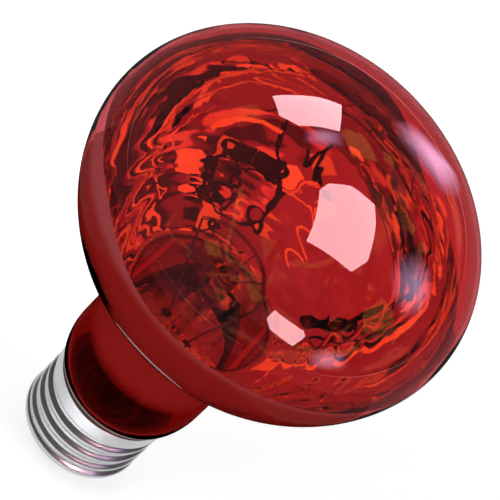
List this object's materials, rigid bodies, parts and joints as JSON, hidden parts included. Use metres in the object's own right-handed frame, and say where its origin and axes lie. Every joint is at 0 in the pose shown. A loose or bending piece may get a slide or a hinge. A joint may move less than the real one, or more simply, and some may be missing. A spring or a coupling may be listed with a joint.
{
  "type": "reflector heat lamp bulb",
  "caption": "Red glass reflector lamp with a mirrored rear bowl, a clear-fronted dome and a screw cap, used to warm a basking spot.",
  "frame": {"origin": "tip of the solder on the centre contact", "axes": "+Z along the lamp's axis from the cap to the face; -Y is the side nearest the camera in the picture"},
  "size_m": [0.08, 0.08, 0.1178],
  "materials": {
    "red_glass": "clear red, bright mirror coating inside the rear bowl",
    "stem_glass": "clear",
    "shield_metal": "bright rolled sheet",
    "lead_metal": "drawn nickel wire",
    "filament_metal": "coiled tungsten wire, grey",
    "support_metal": "drawn molybdenum wire",
    "cap_metal": "satin rolled sheet",
    "cement": "matt baked cement",
    "insulator_glass": "gloss black",
    "contact_metal": "pressed sheet",
    "solder": "dull solder"
  },
  "bodies": {
    "root": {"glass_bulb": "red_glass", "glass_stem": "stem_glass", "heat_shield": "shield_metal", "lead_side": "lead_metal", "lead_centre": "lead_metal", "filament": "filament_metal", "support_a": "support_metal", "support_b": "support_metal", "support_c": "support_metal", "cap_shell": "cap_metal", "cap_cement": "cement", "cap_insulator": "insulator_glass", "contact_plate": "contact_metal", "contact_solder": "solder", "side_solder": "solder"}
  },
  "joints": []
}
